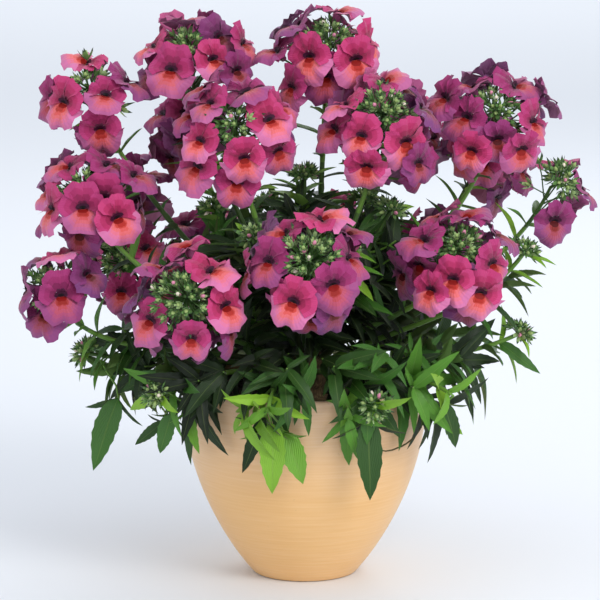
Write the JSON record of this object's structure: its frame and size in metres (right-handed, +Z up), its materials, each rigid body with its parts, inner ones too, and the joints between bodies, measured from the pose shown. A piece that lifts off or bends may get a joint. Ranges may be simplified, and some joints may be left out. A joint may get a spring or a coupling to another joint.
{
  "type": "potted nemesia",
  "caption": "Bushy flowering nemesia in an egg-shaped glazed earthenware pot that stands on its flat foot.",
  "frame": {"origin": "centre of the pot's flat underside, on the surface it stands on", "axes": "+Z up along the pot's axis, -Y towards the front of the plant as pictured, +X to its right"},
  "size_m": [0.3629, 0.2766, 0.3537],
  "materials": {
    "glaze": "satin",
    "potting_soil": "matte",
    "bark": "matte",
    "stem": "satin",
    "petals": "matte",
    "leaves": "satin"
  },
  "bodies": {
    "root": {"bloom_back_left": "petals", "bloom_back_low": "petals", "bloom_back_low_left": "petals", "bloom_back_low_right": "petals", "bloom_back_right": "petals", "bloom_back_top_left": "petals", "bloom_back_top_right": "petals", "bloom_front": "petals", "bloom_front_left": "petals", "bloom_left_inner": "petals", "bloom_left_low": "petals", "bloom_left_middle": "petals", "bloom_left_top": "petals", "bloom_right_front": "petals", "bloom_right_tip": "petals", "bloom_top": "petals", "bloom_top_left": "petals", "bloom_upper_left": "petals", "bloom_upper_middle": "petals", "bloom_upper_right": "petals", "crown": "bark", "foliage_heart_1": "leaves", "foliage_inner_1": "leaves", "foliage_inner_2": "leaves", "foliage_inner_3": "leaves", "foliage_inner_4": "leaves", "foliage_inner_5": "leaves", "foliage_inner_6": "leaves", "foliage_side_1": "leaves", "foliage_skirt_1": "leaves", "foliage_skirt_2": "leaves", "foliage_skirt_3": "leaves", "foliage_skirt_4": "leaves", "foliage_skirt_5": "leaves", "foliage_skirt_6": "leaves", "foliage_skirt_7": "leaves", "foliage_skirt_8": "leaves", "pot": "glaze", "soil": "potting_soil", "stem_back_left": "stem", "stem_back_low": "stem", "stem_back_low_left": "stem", "stem_back_low_right": "stem", "stem_back_right": "stem", "stem_back_top_left": "stem", "stem_back_top_right": "stem", "stem_front": "stem", "stem_front_left": "stem", "stem_left_inner": "stem", "stem_left_low": "stem", "stem_left_middle": "stem", "stem_left_top": "stem", "stem_right_front": "stem", "stem_right_tip": "stem", "stem_top": "stem", "stem_top_left": "stem", "stem_upper_left": "stem", "stem_upper_middle": "stem", "stem_upper_right": "stem"}
  },
  "joints": []
}
